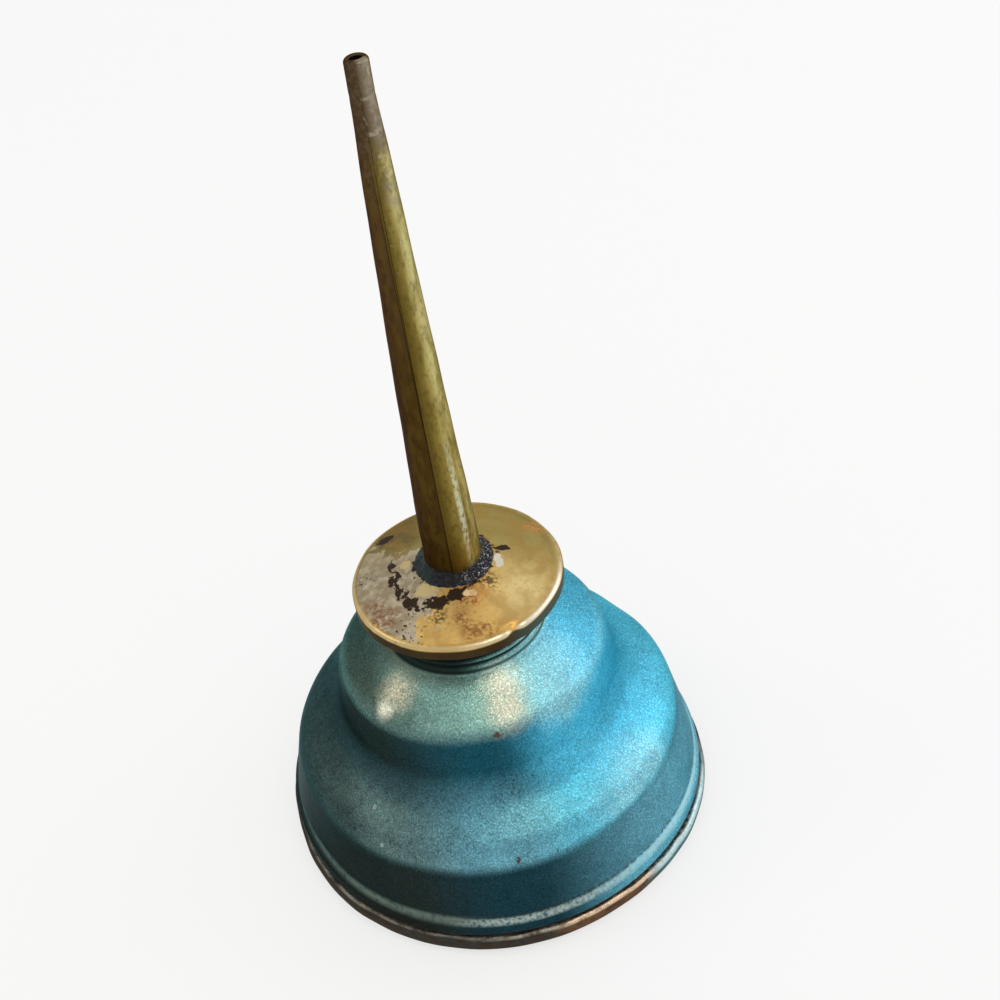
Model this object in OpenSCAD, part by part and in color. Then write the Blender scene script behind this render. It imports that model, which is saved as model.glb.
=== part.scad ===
// Bench oil can with a springy bottom: a bell of drawn steel, a screwed
// brass collar and a long tapered spout. Millimetres, +Z up, origin at the
// middle of the ring that the can stands on. The front of the can faces -Y.

/* [Rolled foot] */
// Diameter over the rolled rim that the can stands on
rim_d = 83.6; // [80:0.2:88]
// Height of the rolled rim
rim_h = 5; // [4.6:0.1:5.8]
// Sheet thickness of the rolled rim
rim_sheet = 0.6; // [0.4:0.05:0.7]
// Width of the roll at its foot, from inside to outside
rim_w = 4; // [3.8:0.1:5]
// Rounding at the foot of the rolled rim, outside
rim_round = 3; // [2:0.1:3.2]
// Width of the ledge that holds the springy bottom
ledge_w = 1.6; // [1:0.1:3]

/* [Springy bottom] */
// Sheet thickness of the bottom
bottom_sheet = 0.4; // [0.3:0.05:0.6]
// Width of the flat edge of the bottom
bottom_edge_w = 4; // [3:0.5:6]
// Depth of the pressed ring inside that edge
ring_drop = 1.4; // [0.8:0.1:1.8]
// Width of the pressed ring
ring_w = 3; // [2:0.5:4]
// Depth of the middle of the bottom below its edge
bottom_drop = 3.1; // [2.4:0.1:3.3]
// Diameter of the flat thumb pad in the middle
pad_d = 18; // [12:1:30]

/* [Bell] */
// Sheet thickness of the bell and its neck
bell_sheet = 0.5; // [0.4:0.05:0.6]
// How far the bead above the rolled rim stands out over the rim
bead_out = 0.1; // [0:0.05:1.5]
// Height of the lower edge of the bead
bead_z = 6.6; // [6.4:0.1:8]
// Height of the bead from edge to edge
bead_h = 2.8; // [2.6:0.1:3.6]
// How far the wall stands in from the bead
wall_in = 0.8; // [0.5:0.05:2]
// How far the wall leans in, up to the corner of the lower step
wall_lean = 3.8; // [2:0.1:6]
// Height of the corner of the lower step
low_step_z = 24.6; // [20:0.2:27]
// Rounding of the lower step
low_step_round = 7; // [3:0.5:8]
// Diameter at the foot of the upper step
valley_d = 54.8; // [53:0.2:60]
// Height of the foot of the upper step
valley_z = 30.6; // [28.5:0.2:33]
// Rounding of the hollow between the steps
valley_round = 9; // [4:0.5:10]
// Diameter at the corner of the upper step
high_step_d = 51.1; // [46:0.2:52]
// Height of the corner of the upper step
high_step_z = 43.2; // [42:0.2:45]
// Rounding of the upper step
high_step_round = 5; // [2:0.5:6]

/* [Screwed neck] */
// Mean outer diameter of the rolled thread
thread_d = 29.8; // [28:0.2:32]
// Height where the neck rises out of the bell
neck_z = 49.4; // [48:0.2:51]
// Height of the neck
neck_h = 8.1; // [6.5:0.1:9]
// Pitch of the thread
thread_pitch = 1.5; // [1.3:0.1:2.4]
// Depth that the thread is rolled in, to each side of its mean
thread_wave = 0.35; // [0.25:0.05:0.45]
// Radial clearance between the two threads
thread_fit = 0.3; // [0.25:0.05:0.4]
// Length of the threaded brass sleeve below its flange
sleeve_len = 8; // [6:0.1:8.2]

/* [Collar] */
// Diameter over the turned-down edge of the collar
collar_d = 39.2; // [38:0.2:44]
// Sheet thickness of the collar
collar_sheet = 0.8; // [0.6:0.1:1]
// Height of the turned-down edge, to the corner of the cone
collar_edge_h = 2.45; // [2.4:0.05:4]
// Rounding of the edge of the collar
collar_round = 1.2; // [0.9:0.1:1.8]
// How far the turned-down edge reaches below the sleeve's flange
collar_skirt = 0.9; // [0.4:0.1:1.2]
// Slope of the collar's cone in degrees
collar_slope = 14.4; // [8:0.2:20]
// Thickness of the leather washer
washer_t = 1.2; // [0.8:0.1:1.8]
// Sheet thickness of the threaded sleeve
sleeve_sheet = 0.5; // [0.4:0.05:0.6]

/* [Spout] */
// Radius of the spout where it leaves the collar
foot_r = 5.2; // [5:0.05:6.5]
// Length of the foot's gentle taper
foot_len = 14; // [8:1:20]
// Radius of the spout above its foot
waist_r = 4.86; // [4:0.02:4.96]
// Length of the long taper
taper_len = 63; // [40:0.5:90]
// Radius at the end of the long taper, where the nose begins
nose_r = 2.48; // [2:0.02:3]
// Length of the nose
nose_len = 9.5; // [6:0.5:14]
// Radius of the straight tip
tip_r = 1.9; // [1.7:0.05:2.4]
// Length of the straight tip
tip_len = 10.2; // [6:0.2:14]
// Radius of the opening that the rolled-in end of the tip leaves
mouth_r = 0.9; // [0.6:0.05:1]
// Wall of the spout
spout_wall = 0.55; // [0.4:0.05:0.7]
// Step where the sheet laps over itself
lap_step = 0.3; // [0.15:0.05:0.4]
// Direction that the lap faces, in degrees about the axis
lap_angle = 264; // [0:1:359]
// Width of the solder on the collar, out from the spout
solder_w = 2.2; // [1:0.1:3]
// Height of the solder on the spout
solder_h = 1.1; // [0.6:0.1:2]

/* [Hidden] */
$fn = 120;
bend_steps = 8;
thread_sides = 40;
rows_per_turn = 8;
// Clearance between the parts of the rolled foot
seam_fit = 0.1;
// Clearance of pieces that are pushed into one another
push_fit = 0.1;
// Overlap of volumes that are joined into one solid
join = 0.3;
// Rounding of small bends in the sheet
small_bend = 0.9;
// Rounding of the bends inside the rolled rim
foot_bend = 0.5;
// Rounding of the upper edge of the rolled rim
rim_top_round = 0.7;
// Least rounding that the inner face of a bend keeps
least_round = 0.05;
// How far the spout reaches below the collar's hole
spout_root = 3;
// Rounding of the rolled-in end of the tip
tip_round = 0.6;

rim_r = rim_d / 2;
// The bell's turned-in edge lies in the roll, clear of it by three seam fits
flange_r = rim_r - rim_sheet - 3 * seam_fit;
flange_round = rim_round - rim_sheet - 3 * seam_fit;
foot_in_r = rim_r - rim_w;
leg_r = foot_in_r + rim_sheet;
edge_z = rim_h - rim_sheet - seam_fit;
thread_r = thread_d / 2;
thread_in_r = thread_r - bell_sheet;
neck_top_z = neck_z + neck_h;
washer_z = neck_top_z + seam_fit;
flange_z = washer_z + washer_t + seam_fit;
collar_r = collar_d / 2;
collar_low_z = flange_z - collar_skirt;
collar_in_r = collar_r - collar_sheet;
cone_rise = tan(collar_slope);
sleeve_r = thread_in_r - thread_fit;
neck_in_r = thread_in_r - thread_wave;
neck_foot_r = thread_r + thread_wave + seam_fit;
neck_foot_h = small_bend + join;
bead_r = rim_r + bead_out;
wall_r = bead_r - wall_in;
low_step_r = wall_r - wall_lean;

function unit(v) = v / norm(v);
function left_of(v) = [-v[1], v[0]];
function corner(path, i) = [path[i][0], path[i][1]];
function heading(path, i) = unit(corner(path, i + 1) - corner(path, i));

// A path is a list of [radius, height, rounding]. moved() shifts it by t to its
// left, which keeps a sheet the same thickness all the way.
function moved(path, t) = [
    for (i = [0:len(path) - 1])
        let (before = heading(path, max(i - 1, 0)),
             after = heading(path, min(i, len(path) - 2)),
             square = unit(left_of(before) + left_of(after)),
             at = corner(path, i) + square * t / (square * left_of(before)),
             turn = cross(before, after))
            [at[0], at[1], path[i][2] > 0 ? max(path[i][2] - sign(turn) * t, least_round) : 0]
];

// The points of one corner: the corner itself, or an arc that touches both edges
function rounded_corner(path, i) =
    let (p = corner(path, i), r = path[i][2])
    i == 0 || i == len(path) - 1 || r == 0 ? [p] :
    let (back = -heading(path, i - 1), ahead = heading(path, i),
         half = acos(back * ahead) / 2,
         middle = p + unit(back + ahead) * r / sin(half),
         start = unit(p + back * r / tan(half) - middle),
         end = unit(p + ahead * r / tan(half) - middle),
         sweep = acos(start * end))
        [for (k = [0:bend_steps])
            middle + r * (sin(sweep * (1 - k / bend_steps)) * start
                          + sin(sweep * k / bend_steps) * end) / sin(sweep)];

function bent(path) = [for (i = [0:len(path) - 1]) each rounded_corner(path, i)];
function reversed(points) = [for (i = [len(points) - 1:-1:0]) points[i]];

// A sheet that follows a path, t thick on the left of it
module sheet_of_revolution(path, t) {
    rotate_extrude()
        polygon(concat(bent(path), reversed(bent(moved(path, t)))));
}

// A sheet with a single thread rolled into it is, at every height, a circle set
// off its centre. The offset goes round once in each pitch.
function thread_point(r, angle, z) =
    let (phase = angle - 360 * z / thread_pitch,
         across = thread_wave * sin(phase),
         reach = thread_wave * cos(phase) + sqrt(r * r - across * across))
        [reach * cos(angle), reach * sin(angle), z];

module rolled_sleeve(outer_r, sheet, low_z, high_z) {
    rows = ceil((high_z - low_z) / thread_pitch * rows_per_turn);
    n = thread_sides;
    inside = (rows + 1) * n;
    points = [
        for (r = [outer_r, outer_r - sheet])
            for (k = [0:rows])
                for (i = [0:n - 1])
                    thread_point(r, 360 * i / n, low_z + (high_z - low_z) * k / rows)
    ];
    walls = [
        for (k = [0:rows - 1])
            for (i = [0:n - 1])
                let (a = k * n + i, b = k * n + (i + 1) % n, c = b + n, d = a + n)
                    each [[a, d, c], [a, c, b],
                          [inside + a, inside + c, inside + d],
                          [inside + a, inside + b, inside + c]]
    ];
    ends = [
        for (i = [0:n - 1])
            let (next = (i + 1) % n, top = rows * n)
                each [[i, next, inside + next, inside + i],
                      [top + i, inside + top + i, inside + top + next, top + next]]
    ];
    polyhedron(points = points, faces = concat(walls, ends));
}

// The outside of the bell, from inside the rolled rim up to the neck
bell_path = [
    [leg_r + seam_fit, rim_sheet + 2 * seam_fit, 0],
    [flange_r, rim_sheet + 2 * seam_fit, flange_round],
    [flange_r, bead_z - small_bend / 2, small_bend / 3],
    [bead_r, bead_z + small_bend / 2, small_bend],
    [bead_r, bead_z + bead_h - small_bend / 2, small_bend],
    [wall_r, bead_z + bead_h + small_bend, small_bend],
    [low_step_r, low_step_z, low_step_round],
    [valley_d / 2, valley_z, valley_round],
    [high_step_d / 2, high_step_z, high_step_round],
    [neck_foot_r, neck_z, small_bend],
    [neck_foot_r, neck_z + neck_foot_h, 0]
];

// The ring where the rolled thread runs out into the foot of the neck
module thread_root() {
    translate([0, 0, neck_z + neck_foot_h - 2 * join])
        difference() {
            cylinder(r = neck_foot_r - bell_sheet / 2, h = 2 * join);
            translate([0, 0, -join]) cylinder(r = neck_in_r - push_fit, h = 4 * join);
        }
}

module can_body() {
    color("#2f8fa8") {
        sheet_of_revolution(bell_path, bell_sheet);
        thread_root();
        rolled_sleeve(thread_r, bell_sheet, neck_z + neck_foot_h - join, neck_top_z);
    }
}

// The rim is one sheet: a ledge inside, down, and rolled round the bell's edge
rim_path = [
    [foot_in_r - ledge_w, rim_h - rim_sheet, 0],
    [foot_in_r, rim_h - rim_sheet, foot_bend],
    [foot_in_r, 0, foot_bend],
    [rim_r, 0, rim_round],
    [rim_r, rim_h, rim_top_round],
    [flange_r + seam_fit / 2, rim_h, 0]
];

module base_seam() {
    color("#6a5140") sheet_of_revolution(rim_path, rim_sheet);
}

// The springy bottom hangs under the ledge of the rim and clicks when pressed
bottom_path = [
    [foot_in_r - foot_bend - push_fit, edge_z, 0],
    [foot_in_r - bottom_edge_w, edge_z, small_bend],
    [foot_in_r - bottom_edge_w - ring_w / 2, edge_z - ring_drop, small_bend],
    [foot_in_r - bottom_edge_w - ring_w, edge_z - ring_drop / 2, small_bend],
    [pad_d / 2, edge_z - bottom_drop, small_bend],
    [0, edge_z - bottom_drop, 0]
];

module bottom_diaphragm() {
    color("#8a8680") sheet_of_revolution(bottom_path, bottom_sheet);
}

module neck_washer() {
    color("#7a5234")
        translate([0, 0, washer_z])
            difference() {
                cylinder(r = collar_in_r - 3 * push_fit, h = washer_t);
                translate([0, 0, -join])
                    cylinder(r = sleeve_r + thread_wave + 2 * push_fit, h = washer_t + 2 * join);
            }
}

// The collar's outside, from its lower edge to the hole for the spout
collar_corner_z = collar_low_z + collar_edge_h;
spout_hole_r = foot_r + lap_step + push_fit + collar_sheet * sin(collar_slope);
function cone_z(r) = collar_corner_z + (collar_r - r) * cone_rise;
collar_path = [
    [collar_r, collar_low_z, 0],
    [collar_r, collar_corner_z, collar_round],
    [spout_hole_r, cone_z(spout_hole_r), 0]
];

module spout_collar() {
    color("#b08d3c") sheet_of_revolution(collar_path, collar_sheet);
}

// Flange of the sleeve, held inside the collar's turned-down edge
module thread_sleeve() {
    color("#b5903f") {
        difference() {
            translate([0, 0, flange_z]) cylinder(r = collar_in_r - push_fit, h = sleeve_sheet);
            translate([0, 0, flange_z - join])
                cylinder(r = sleeve_r - sleeve_sheet - thread_wave - push_fit,
                         h = sleeve_sheet + 2 * join);
        }
        rolled_sleeve(sleeve_r, sleeve_sheet, flange_z - sleeve_len, flange_z + sleeve_sheet / 2);
    }
}

// Heights up the spout
foot_z = cone_z(foot_r);
waist_z = foot_z + foot_len;
nose_z = waist_z + taper_len;
straight_z = nose_z + nose_len;
tip_z = straight_z + tip_len;
root_z = foot_z - spout_root;

// The outside of the spout, grown by more where it forms the outer lap
function spout_side(more) = [
    [foot_r + more, root_z],
    [foot_r + more, foot_z],
    [waist_r + more, waist_z],
    [nose_r + more, nose_z],
    [tip_r + more, straight_z],
    for (k = [0:bend_steps])
        let (turn = 90 * k / bend_steps)
            [tip_r + more - tip_round * (1 - cos(turn)), tip_z - tip_round * (1 - sin(turn))]
];

module spout_half(more, turn) {
    rotate([0, 0, lap_angle + turn])
        translate([more, 0, 0])
            rotate_extrude(angle = 180)
                polygon(concat([[0, root_z]], spout_side(more), [[0, tip_z]]));
}

// Two half rounds, one of them larger and shifted: they meet flush on the far
// side and leave the step of the lap on the near side
module spout_outside() {
    spout_half(lap_step / 2, 0);
    spout_half(0, 180);
}

module spout_tube() {
    color("#8f7a2e")
        difference() {
            spout_outside();
            rotate_extrude()
                polygon([[0, root_z - join],
                         [foot_r - spout_wall, root_z - join],
                         [foot_r - spout_wall, foot_z],
                         [waist_r - spout_wall, waist_z],
                         [nose_r - spout_wall, nose_z],
                         [tip_r - spout_wall, straight_z],
                         [tip_r - spout_wall, tip_z - tip_round],
                         [mouth_r, tip_z - tip_round / 2],
                         [mouth_r, tip_z + join],
                         [0, tip_z + join]]);
        }
}

module solder_ring() {
    outer_r = foot_r + solder_w;
    color("#6d7078")
        difference() {
            rotate_extrude()
                polygon([[foot_r - spout_wall, cone_z(foot_r - spout_wall)],
                         [outer_r, cone_z(outer_r)],
                         [foot_r + solder_w / 2, foot_z + solder_h / 3],
                         [foot_r, foot_z + solder_h],
                         [foot_r - spout_wall, foot_z + solder_h]]);
            spout_outside();
        }
}

can_body();
base_seam();
bottom_diaphragm();
neck_washer();
spout_collar();
thread_sleeve();
spout_tube();
solder_ring();
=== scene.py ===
import math

import bmesh
import bpy
import numpy as np
from mathutils import Matrix, Vector, noise


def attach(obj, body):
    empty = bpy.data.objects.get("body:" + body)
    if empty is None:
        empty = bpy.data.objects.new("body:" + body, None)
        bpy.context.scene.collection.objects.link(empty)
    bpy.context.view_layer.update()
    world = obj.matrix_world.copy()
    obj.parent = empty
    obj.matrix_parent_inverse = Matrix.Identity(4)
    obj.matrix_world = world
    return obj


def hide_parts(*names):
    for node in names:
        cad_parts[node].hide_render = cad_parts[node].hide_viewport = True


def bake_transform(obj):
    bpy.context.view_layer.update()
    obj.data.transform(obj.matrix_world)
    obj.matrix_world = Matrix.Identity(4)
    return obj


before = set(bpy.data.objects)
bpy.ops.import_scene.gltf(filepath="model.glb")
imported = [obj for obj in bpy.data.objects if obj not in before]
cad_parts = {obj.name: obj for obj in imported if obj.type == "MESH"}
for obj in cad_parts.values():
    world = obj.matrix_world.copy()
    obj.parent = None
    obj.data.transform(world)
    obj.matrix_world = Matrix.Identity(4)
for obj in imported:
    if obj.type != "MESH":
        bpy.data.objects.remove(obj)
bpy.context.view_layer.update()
mm = 0.001
print("frame loaded:", sorted(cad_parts))


# Shapes. Every outline is a list of (radius, height) in mm that is turned round +Z.

def roundedPath(path, steps=8):
    # path holds (radius, height, rounding), and corners with a rounding become arcs
    points = []
    for i, (r, z, turn) in enumerate(path):
        here = np.array([r, z], float)
        if i in (0, len(path) - 1) or turn <= 0:
            points.append(here)
            continue
        back = np.array(path[i - 1][:2], float) - here
        ahead = np.array(path[i + 1][:2], float) - here
        back, ahead = back / np.linalg.norm(back), ahead / np.linalg.norm(ahead)
        half = math.acos(max(-1, min(1, float(back @ ahead)))) / 2
        middle = here + (back + ahead) / np.linalg.norm(back + ahead) * turn / math.sin(half)
        start = here + back * turn / math.tan(half) - middle
        end = here + ahead * turn / math.tan(half) - middle
        sweep = math.acos(max(-1, min(1, float(start @ end) / turn ** 2)))
        for k in range(steps + 1):
            a, b = math.sin(sweep * (1 - k / steps)), math.sin(sweep * k / steps)
            points.append(middle + (a * start + b * end) / math.sin(sweep))
    return np.array(points)


def shiftedPath(path, distance):
    # the same path moved to its left, as the other face of a sheet
    shifted = []
    last = len(path) - 1
    for i in range(len(path)):
        a, b = path[max(i - 1, 0)], path[max(i, 1)]
        c, d = path[min(i, last - 1)], path[min(i + 1, last)]
        before = np.array([b[0] - a[0], b[1] - a[1]], float)
        after = np.array([d[0] - c[0], d[1] - c[1]], float)
        before, after = before / np.linalg.norm(before), after / np.linalg.norm(after)
        left = np.array([-before[1] - after[1], before[0] + after[0]])
        left = left / np.linalg.norm(left)
        reach = distance / float(left @ np.array([-before[1], before[0]]))
        side = np.sign(before[0] * after[1] - before[1] * after[0])
        turn = max(path[i][2] - side * distance, 0.05) if path[i][2] > 0 else 0
        shifted.append((path[i][0] + left[0] * reach, path[i][1] + left[1] * reach, turn))
    return shifted


def evened(points, step):
    # adds points so that no stretch is longer than step
    points = np.asarray(points, float)
    out = []
    for a, b in zip(points[:-1], points[1:]):
        count = max(1, int(math.ceil(np.linalg.norm(b - a) / step)))
        out += [a + (b - a) * k / count for k in range(count)]
    return np.array(out + [points[-1]])


def bentSheet(path, sheet, step, insideStep):
    # the two faces of a sheet that follows path; joined they are one closed outline
    outside = evened(roundedPath(path), step)
    inside = evened(roundedPath(shiftedPath(path, sheet)), insideStep)
    return outside, inside[::-1]


def smoothStep(value, low, high):
    t = np.clip((value - low) / (high - low), 0, 1)
    return t * t * (3 - 2 * t)


def angleGap(angle, degrees):
    # how far each angle is from the given one, in radians
    return np.abs((angle - math.radians(degrees) + math.pi) % (2 * math.pi) - math.pi)


def turnedRings(outline, sides, shape=None):
    # the outline turned round +Z, with each point moved by shape where the real sheet isn't round
    angle = np.arange(sides) * 2 * math.pi / sides
    radius = np.repeat(outline[:, :1], sides, 1)
    height = np.repeat(outline[:, 1:2], sides, 1)
    angle = np.repeat(angle[None, :], len(outline), 0)
    if shape:
        radius, height = shape(radius, angle, height)
    return np.stack([radius * np.cos(angle), radius * np.sin(angle), height], -1)


def ringsToPiece(name, rings, sharpAngle=35):
    # rings is an array (outline points, points round the axis, xyz) in mm, closed both ways
    rows, sides = rings.shape[:2]
    index = np.arange(rows * sides).reshape(rows, sides)
    a, b = index, np.roll(index, -1, 1)
    c, d = np.roll(b, -1, 0), np.roll(index, -1, 0)
    faces = np.stack([a, b, c, d], -1).reshape(-1, 4)
    mesh = bpy.data.meshes.new(name)
    mesh.from_pydata((rings.reshape(-1, 3) * mm).tolist(), [], faces.tolist())
    work = bmesh.new()
    work.from_mesh(mesh)
    bmesh.ops.remove_doubles(work, verts=work.verts, dist=2e-7)
    bmesh.ops.dissolve_degenerate(work, edges=work.edges, dist=1e-8)
    bmesh.ops.recalc_face_normals(work, faces=work.faces)
    work.to_mesh(mesh)
    work.free()
    mesh.polygons.foreach_set("use_smooth", [True] * len(mesh.polygons))
    mesh.set_sharp_from_angle(angle=math.radians(sharpAngle))
    piece = bpy.data.objects.new(name, mesh)
    bpy.context.scene.collection.objects.link(piece)
    return piece


# The bell and its neck

# pitch, height of the wave, radii of neck and sleeve and the neck's sheet, all in mm
thread = {"pitch": 1.5, "wave": 0.35, "neckRadius": 14.9, "sheet": 0.5, "sleeveRadius": 14.1}


def threadRidge(angle, height):
    # rolled thread: wide rounded ridges with narrower grooves, once round in a pitch
    turn = np.cos(angle - 2 * math.pi * height / thread["pitch"])
    return thread["wave"] * (2 * ((1 + turn) / 2) ** 0.75 - 1)


bell = {
    "sides": 288,
    "sheet": 0.5,
    "path": [(38.5, 0.8, 0), (40.05, 0.8, 1.5), (40.05, 5.0, 0.3), (41.1, 5.6, 0.75), (41.1, 8.1, 0.9),
             (40.2, 9.4, 0.9), (37.3, 24.6, 7), (27.4, 30.6, 9), (25.55, 43.2, 5), (15.35, 49.4, 0.9),
             (15.35, 50.1, 0)],
    "neckTop": 57.5,
    # where the foot stands out since the can was squeezed: angle in degrees, half width in radians, mm
    "bulges": [(336, 0.46, 1.15), (160, 0.32, 1.4)],
    # angle in degrees, height, half width and depth in mm
    "dents": [(32, 24, 5, 0.5), (205, 14, 7, 0.35), (262, 36, 6, 0.25), (300, 20, 8, 0.25),
              (118, 27, 6, 0.4)],
}


def squeezed(radius, angle, share=1.0):
    # the can was squeezed once, and its rim stands out at both sides since, its bell a little less
    out = sum(depth * np.exp(-(angleGap(angle, degrees) / width) ** 2)
              for degrees, width, depth in bell["bulges"])
    return radius + share * out * smoothStep(radius, 37.3, 39.8)


def bellShape(radius, angle, height):
    # between bead and neck the drawn sheet is a little out of round
    radius = squeezed(radius, angle, 0.7)
    body = smoothStep(height, 8, 14) * (1 - smoothStep(height, 44, 49))
    radius = radius + body * (0.10 * np.sin(2 * angle + 0.7) + 0.06 * np.sin(3 * angle + 1.9))
    for degrees, z, width, depth in bell["dents"]:
        across = (angleGap(angle, degrees) * radius) ** 2 + (height - z) ** 2
        radius = radius - depth * np.exp(-across / width ** 2)
    ridge = smoothStep(height, 50.2, 51.3) * threadRidge(angle, height)
    return radius + ridge, height


def makeBell():
    outside, inside = bentSheet(bell["path"], bell["sheet"], 0.6, 1.4)
    top, r, sheet = bell["neckTop"], thread["neckRadius"], thread["sheet"]
    neckOut = evened([(15.33, 50.25), (15.22, 50.5), (15.0, 50.8), (r, 51), (r, top - 0.15)], 0.11)
    lip = [(r - 0.06, top - 0.03), (r - 0.2, top), (r - 0.3, top), (r - 0.44, top - 0.03)]
    neckIn = evened([(r - sheet, top - 0.15), (r - sheet, 51), (14.5, 50.8), (14.72, 50.5),
                     (14.84, 50.25)], 0.22)
    outline = np.concatenate([outside, neckOut, lip, neckIn, inside])
    return ringsToPiece("bellShell", turnedRings(outline, bell["sides"], bellShape))


# The rolled rim

rimRadius = 41.8
rim = {
    "sides": 256,
    "sheet": 0.6,
    "path": [(36.2, 4.4, 0), (37.8, 4.4, 0.5), (37.8, 0, 0.5), (rimRadius, 0, 3), (rimRadius, 4.8, 1.2),
             (40.1, 4.75, 0)],
    # places where the roll was knocked: angle in degrees, half width and depth in mm
    "knocks": [(318, 1.4, 0.25), (247, 2.2, 0.12), (22, 2.6, 0.2), (150, 2.0, 0.15)],
}


def rimShape(radius, angle, height):
    # the roll was closed by a hand-fed wheel, so its outside wanders a little
    outer = smoothStep(radius, 40.4, 41.5) * smoothStep(height, 0.5, 2)
    wander = 0.05 * np.sin(7 * angle + 1) + 0.04 * np.sin(17 * angle) + 0.03 * np.sin(31 * angle + 2)
    knock = 0
    for degrees, width, depth in rim["knocks"]:
        knock = knock + depth * np.exp(-(angleGap(angle, degrees) * rimRadius / width) ** 2)
    radius = squeezed(radius, angle) + outer * (wander - knock * smoothStep(height, 2.5, 5))
    return radius, height + outer * wander * smoothStep(height, 4, 5)


def makeRim():
    outside, inside = bentSheet(rim["path"], rim["sheet"], 0.35, 0.6)
    return ringsToPiece("rolledRim", turnedRings(np.concatenate([outside, inside]), rim["sides"], rimShape))


# The springy bottom

bottom = {
    "sides": 192,
    "sheet": 0.4,
    "path": [(37.2, 4.3, 0), (33.8, 4.3, 0.9), (32.3, 2.9, 0.9), (30.8, 3.6, 0.9), (9, 1.2, 0.9),
             (0, 1.2, 0)],
    # how far it is out of flat, in mm
    "warp": 0.1,
}


def bottomShape(radius, angle, height):
    # thumb-pressed sheet is never quite flat
    middle = (1 - smoothStep(radius, 6, 32)) * smoothStep(radius, 1, 12)
    return radius, height + bottom["warp"] * middle * np.sin(2 * angle + 0.5)


def makeBottom():
    upper, lower = bentSheet(bottom["path"], bottom["sheet"], 1.1, 1.1)
    outline = np.concatenate([upper, lower])
    return ringsToPiece("springyBottom", turnedRings(outline, bottom["sides"], bottomShape))


# Collar, sleeve and washer

collar = {
    "sides": 256, "sheet": 0.8, "radius": 19.6, "low": 58.0, "corner": 60.45, "hole": 5.8,
    # slope of its cone
    "rise": math.tan(math.radians(14.4)),
    # the disc inside the rolled edge: radius, height over the plain cone and rounding in mm
    "disc": [(18.3, -0.06, 0.5), (17.4, 0.02, 0.6), (9.4, 0.05, 1.5)],
    # the knock in its front edge: angle in degrees, half width and depth in mm
    "nick": (294, 1.3, 0.55),
}


def collarHeight(radius):
    return collar["corner"] + (collar["radius"] - radius) * collar["rise"]


def collarShape(radius, angle, height):
    degrees, width, depth = collar["nick"]
    edge = smoothStep(radius, 17.4, 19.2)
    wander = 0.05 * np.sin(5 * angle + 2) + 0.04 * np.sin(11 * angle)
    nick = depth * np.exp(-(angleGap(angle, degrees) * radius / width) ** 2) * edge
    disc = smoothStep(radius, 7.5, 10) * (1 - smoothStep(radius, 16, 18.5))
    swell = disc * (0.06 * np.sin(3 * angle + 1) + 0.05 * np.sin(2 * angle + radius / 3))
    return radius + edge * wander - nick, height + swell - 0.6 * nick + 0.4 * edge * wander


def makeCollar():
    r, low, corner, hole = collar["radius"], collar["low"], collar["corner"], collar["hole"]
    edge = [(r, low, 0), (r, corner, 1.1)]
    disc = [(x, collarHeight(x) + over, turn) for x, over, turn in collar["disc"]]
    foot = [(hole, collarHeight(hole), 0)]
    upper = evened(roundedPath(edge + disc + foot), 0.35)
    lower = evened(roundedPath(shiftedPath(edge + foot, collar["sheet"])), 0.8)[::-1]
    outline = np.concatenate([upper, lower, [(r - 0.65, low + 0.02), (r - 0.15, low)]])
    return ringsToPiece("spoutCollar", turnedRings(outline, collar["sides"], collarShape))


sleeve = {"sides": 224, "sheet": 0.5, "bottom": 50.9, "flange": 58.9, "flangeRadius": 18.7}


def sleeveShape(radius, angle, height):
    thin = (1 - smoothStep(height, 57.9, 58.7)) * (radius < 14.8)
    return radius + thin * threadRidge(angle, height), height


def makeSleeve():
    r, low, flange, edge = thread["sleeveRadius"], sleeve["bottom"], sleeve["flange"], sleeve["flangeRadius"]
    inner = r - sleeve["sheet"]
    outside = evened([(r, low + 0.1), (r, flange - 0.4), (r + 0.1, flange - 0.15), (r + 0.3, flange - 0.02),
                      (r + 0.6, flange + 0.02), (edge - 0.1, flange + 0.02)], 0.15)
    top = evened([(edge, flange + 0.1), (edge, flange + 0.4), (edge - 0.1, flange + 0.48),
                  (inner + 0.7, flange + 0.48), (inner + 0.3, flange + 0.38), (inner + 0.05, flange + 0.1),
                  (inner, flange - 0.2), (inner, low + 0.1)], 0.4)
    outline = np.concatenate([outside, top, [(inner + 0.1, low), (r - 0.1, low)]])
    return ringsToPiece("threadedSleeve", turnedRings(outline, sleeve["sides"], sleeveShape))


washer = {"sides": 160, "inner": 14.7, "outer": 18.42, "low": 57.62, "high": 58.78, "bend": 0.12}


def washerShape(radius, angle, height):
    # a punched edge of leather is a little ragged
    edge = smoothStep(radius, 17.6, 18.4)
    return radius + edge * (0.06 * np.sin(9 * angle) + 0.04 * np.sin(23 * angle + 1)), height


def makeWasher():
    inner, outer, low, high, bend = (washer[key] for key in ("inner", "outer", "low", "high", "bend"))
    outline = [(inner + bend, low), (outer - bend, low), (outer, low + bend), (outer, high - bend),
               (outer - bend, high), (inner + bend, high), (inner, high - bend), (inner, low + bend),
               (inner + bend, low)]
    return ringsToPiece("leatherWasher", turnedRings(evened(outline, 0.5)[:-1], washer["sides"], washerShape))


# The spout and its solder

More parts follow.
